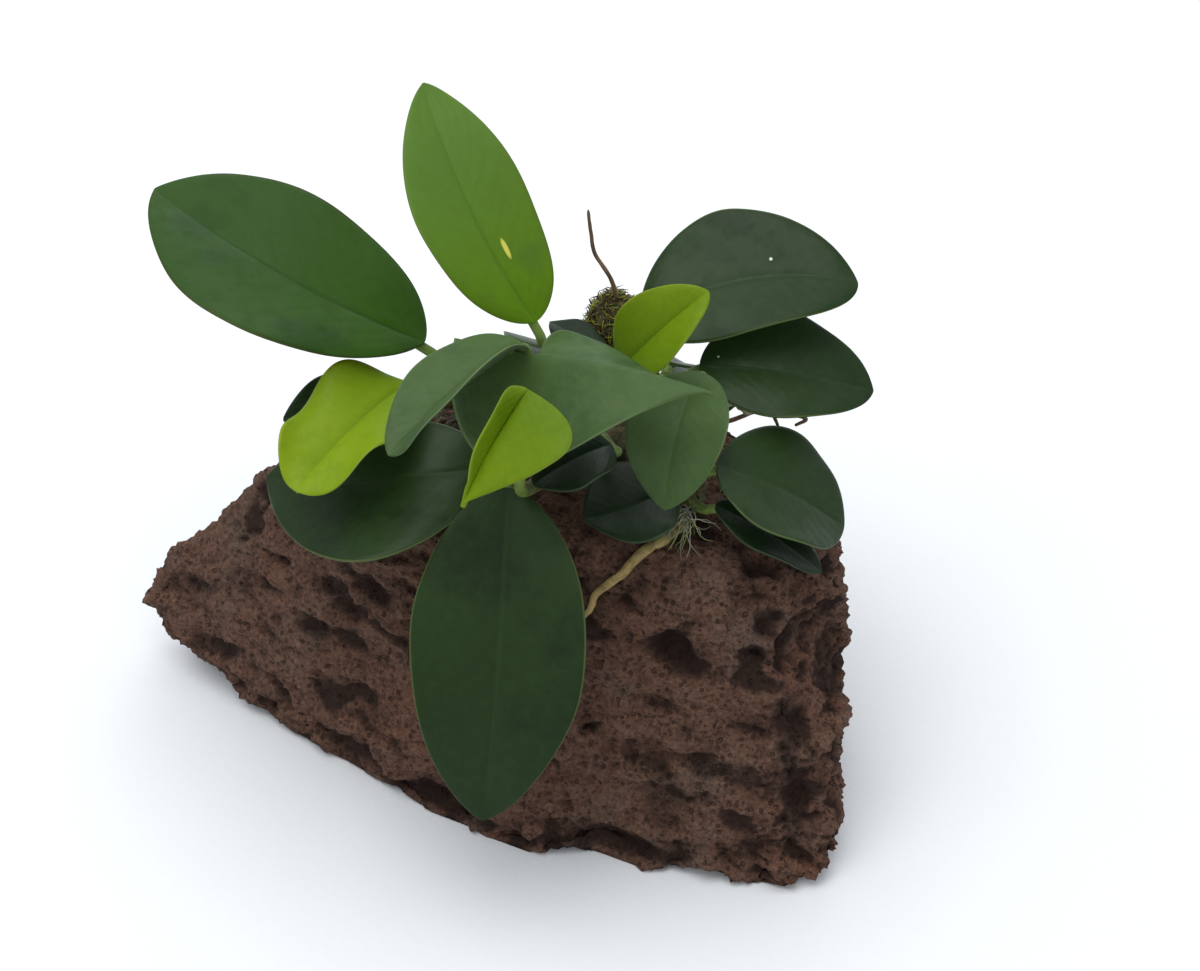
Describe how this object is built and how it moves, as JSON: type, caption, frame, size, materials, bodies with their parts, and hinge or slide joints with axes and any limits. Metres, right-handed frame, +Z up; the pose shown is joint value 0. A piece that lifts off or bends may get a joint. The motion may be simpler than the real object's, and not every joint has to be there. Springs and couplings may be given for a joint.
{
  "type": "anubias on stone",
  "caption": "Aquarium plant with broad leathery leaves on short stalks, its creeping rhizome and roots gripping a rough lava stone that weighs it down.",
  "frame": {"origin": "on the stone's flat underside, at z = 0, near the middle of the foot", "axes": "+Z up, +X along the stone's length towards its blunt end, -Y towards the side the front leaf hangs over"},
  "size_m": [0.1235, 0.0862, 0.1044],
  "materials": {
    "lava_stone": "rough porous lava, reddish brown, dry and matt",
    "rhizome_skin": "olive to brown plant skin with leaf scars, satin",
    "lime_leaf": "young leaf, lime green, glossy and slightly translucent",
    "mid_leaf": "half-grown leaf, mid green, glossy",
    "dark_leaf": "old leaf, dark green, leathery and glossy",
    "leaf_stalk": "leaf stalk, yellow green, satin",
    "root_skin": "root, ochre to brown, satin"
  },
  "bodies": {
    "root": {"stone": "lava_stone", "rhizome_main": "rhizome_skin", "rhizome_left": "rhizome_skin", "rhizome_right": "rhizome_skin", "rhizome_old_end": "rhizome_skin", "far_left_blade": "mid_leaf", "far_left_stalk": "leaf_stalk", "top_blade": "mid_leaf", "top_stalk": "leaf_stalk", "right_upper_blade": "dark_leaf", "right_upper_stalk": "leaf_stalk", "right_middle_blade": "dark_leaf", "right_middle_stalk": "leaf_stalk", "right_lower_blade": "dark_leaf", "right_lower_stalk": "leaf_stalk", "right_under_blade": "dark_leaf", "right_under_stalk": "leaf_stalk", "centre_over_blade": "dark_leaf", "centre_over_stalk": "leaf_stalk", "centre_left_blade": "dark_leaf", "centre_left_stalk": "leaf_stalk", "lime_centre_blade": "lime_leaf", "lime_centre_stalk": "leaf_stalk", "lime_left_blade": "lime_leaf", "lime_left_stalk": "leaf_stalk", "left_low_blade": "dark_leaf", "left_low_stalk": "leaf_stalk", "left_behind_blade": "dark_leaf", "left_behind_stalk": "leaf_stalk", "front_blade": "dark_leaf", "front_stalk": "leaf_stalk", "centre_drop_blade": "dark_leaf", "centre_drop_stalk": "leaf_stalk", "under_right_blade": "dark_leaf", "under_right_stalk": "leaf_stalk", "under_centre_blade": "dark_leaf", "under_centre_stalk": "leaf_stalk", "lime_small_blade": "lime_leaf", "lime_small_stalk": "leaf_stalk", "back_dark_blade": "dark_leaf", "back_dark_stalk": "leaf_stalk", "rear_left_blade": "dark_leaf", "rear_left_stalk": "leaf_stalk", "rear_right_blade": "dark_leaf", "rear_right_stalk": "leaf_stalk", "root_front": "root_skin", "root_back_left": "root_skin", "root_back_middle": "root_skin", "root_back_right": "root_skin", "root_left": "root_skin", "root_right": "root_skin", "root_rising": "root_skin", "root_fine_inner": "root_skin", "root_fine_outer": "root_skin", "cut_stalk": "leaf_stalk"}
  },
  "joints": []
}
